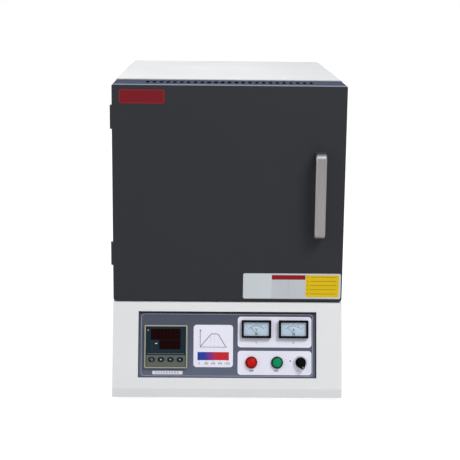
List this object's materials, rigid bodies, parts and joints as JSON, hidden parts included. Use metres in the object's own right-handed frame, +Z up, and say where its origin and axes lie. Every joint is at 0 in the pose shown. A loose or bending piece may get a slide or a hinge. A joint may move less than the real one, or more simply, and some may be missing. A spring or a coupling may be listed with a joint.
{
  "type": "muffle furnace",
  "caption": "Bench muffle furnace with a side-hinged insulated door, a heated chamber and a slanted control panel with a controller, meters, push buttons and a selector.",
  "frame": {"origin": "middle of the overall box at the plane that the rubber feet stand on", "axes": "+X to the right seen from the front, +Y to the back (the door faces -Y), +Z up"},
  "size_m": [0.5295, 0.821, 0.7],
  "materials": {
    "cabinet_white": "satin",
    "door_grey": "satin",
    "frame_grey": "satin",
    "zinc_steel": "satin",
    "foot_rubber": "matte",
    "fibre_insulation": "matte",
    "fibre_board": "matte",
    "hearth_ceramic": "matte",
    "alumina": "matte",
    "heating_wire": "matte",
    "terminal_brass": "satin",
    "thermocouple_metal": "satin",
    "hinge_dark": "satin",
    "pin_steel": "satin",
    "magnet": "matte",
    "panel_slate": "satin",
    "label_white": "satin",
    "device_black": "matte",
    "controller_rim": "satin",
    "controller_navy": "gloss",
    "instrument_glass": "gloss",
    "dial_paper": "matte",
    "bezel_dark": "gloss",
    "bezel_chrome": "polished",
    "sink_aluminium": "satin",
    "terminal_cream": "matte",
    "guard_chrome": "polished",
    "screw_steel": "satin",
    "handle_aluminium": "satin",
    "door_label": "satin",
    "button_red": "gloss",
    "button_green": "gloss",
    "knob_black": "gloss"
  },
  "bodies": {
    "cabinet": {"base_shell": "cabinet_white", "base_floor": "zinc_steel", "base_rear": "cabinet_white", "deck_plate": "cabinet_white", "rubber_feet": "foot_rubber", "support_rails": "zinc_steel", "side_panels": "cabinet_white", "top_cover": "cabinet_white", "rear_panel": "cabinet_white", "front_frame": "frame_grey", "inner_casing": "zinc_steel", "backup_insulation": "fibre_insulation", "mouth_collar": "fibre_board", "chamber_boards": "fibre_board", "chamber_side_boards": "fibre_board", "hearth_plate": "hearth_ceramic", "heating_elements": "heating_wire", "element_bushings": "alumina", "element_terminals": "terminal_brass", "thermocouple": "thermocouple_metal", "hinge_fixed_leaves": "hinge_dark", "hinge_pins": "pin_steel", "magnet_catch": "magnet", "control_panel": "panel_slate", "panel_labels": "label_white", "controller_case": "device_black", "controller_bezel": "controller_rim", "controller_face": "controller_navy", "instrument_windows": "instrument_glass", "meter_cases": "device_black", "meter_dials": "dial_paper", "button_bezels": "bezel_dark", "selector_bezel": "bezel_chrome", "switch_blocks": "device_black", "power_regulator": "sink_aluminium", "contactor": "device_black", "terminal_block": "terminal_cream", "fan_frame": "device_black", "fan_guard": "guard_chrome", "cable_gland": "device_black", "cover_screws": "screw_steel"},
    "door": {"door_shell": "door_grey", "door_inner_tray": "frame_grey", "door_insulation": "fibre_insulation", "door_plug": "fibre_board", "door_seal": "fibre_insulation", "door_handle": "handle_aluminium", "hinge_door_leaves": "hinge_dark", "catch_strike": "pin_steel", "door_labels": "door_label"},
    "red_button": {"red_button": "button_red"},
    "green_button": {"green_button": "button_green"},
    "selector_knob": {"selector_knob": "knob_black"},
    "key_1": {"key_1": "device_black"},
    "key_2": {"key_2": "device_black"},
    "key_3": {"key_3": "device_black"},
    "key_4": {"key_4": "device_black"},
    "voltmeter_needle": {"voltmeter_needle": "device_black"},
    "ammeter_needle": {"ammeter_needle": "device_black"},
    "fan_rotor": {"fan_rotor": "device_black"}
  },
  "joints": [
    {"name": "door_hinge", "type": "hinge", "parent": "cabinet", "child": "door", "pos_m": [-0.2619, -0.243, 0.4565], "axis": [0, 0, -1], "range_deg": [0, 120]},
    {"name": "red_button_press", "type": "slide", "parent": "cabinet", "child": "red_button", "axis": [0, 0.9577, -0.2878], "range_m": [0, 0.004], "stiffness_N_per_m": 400, "springref_m": -0.002},
    {"name": "green_button_press", "type": "slide", "parent": "cabinet", "child": "green_button", "axis": [0, 0.9577, -0.2878], "range_m": [0, 0.004], "stiffness_N_per_m": 400, "springref_m": -0.002},
    {"name": "selector_turn", "type": "hinge", "parent": "cabinet", "child": "selector_knob", "pos_m": [0.1635, -0.38583, 0.08428], "axis": [0, 0.9577, -0.2878], "range_deg": [0, 90]},
    {"name": "key_1_press", "type": "slide", "parent": "cabinet", "child": "key_1", "axis": [0, 0.9577, -0.2878], "range_m": [0, 0.0008], "stiffness_N_per_m": 600, "springref_m": -0.0006},
    {"name": "key_2_press", "type": "slide", "parent": "cabinet", "child": "key_2", "axis": [0, 0.9577, -0.2878], "range_m": [0, 0.0008], "stiffness_N_per_m": 600, "springref_m": -0.0006},
    {"name": "key_3_press", "type": "slide", "parent": "cabinet", "child": "key_3", "axis": [0, 0.9577, -0.2878], "range_m": [0, 0.0008], "stiffness_N_per_m": 600, "springref_m": -0.0006},
    {"name": "key_4_press", "type": "slide", "parent": "cabinet", "child": "key_4", "axis": [0, 0.9577, -0.2878], "range_m": [0, 0.0008], "stiffness_N_per_m": 600, "springref_m": -0.0006},
    {"name": "voltmeter_swing", "type": "hinge", "parent": "cabinet", "child": "voltmeter_needle", "pos_m": [0.06453, -0.3722, 0.14701], "axis": [0, 0.9577, -0.2878], "range_deg": [0, 90], "stiffness_Nm_per_rad": 0.00002, "springref_deg": -5.73},
    {"name": "ammeter_swing", "type": "hinge", "parent": "cabinet", "child": "ammeter_needle", "pos_m": [0.1475, -0.3722, 0.14701], "axis": [0, 0.9577, -0.2878], "range_deg": [0, 90], "stiffness_Nm_per_rad": 0.00002, "springref_deg": -5.73},
    {"name": "fan_spin", "type": "hinge", "parent": "cabinet", "child": "fan_rotor", "pos_m": [-0.14, 0.368, 0.1115], "axis": [0, 1, 0], "continuous": true}
  ]
}
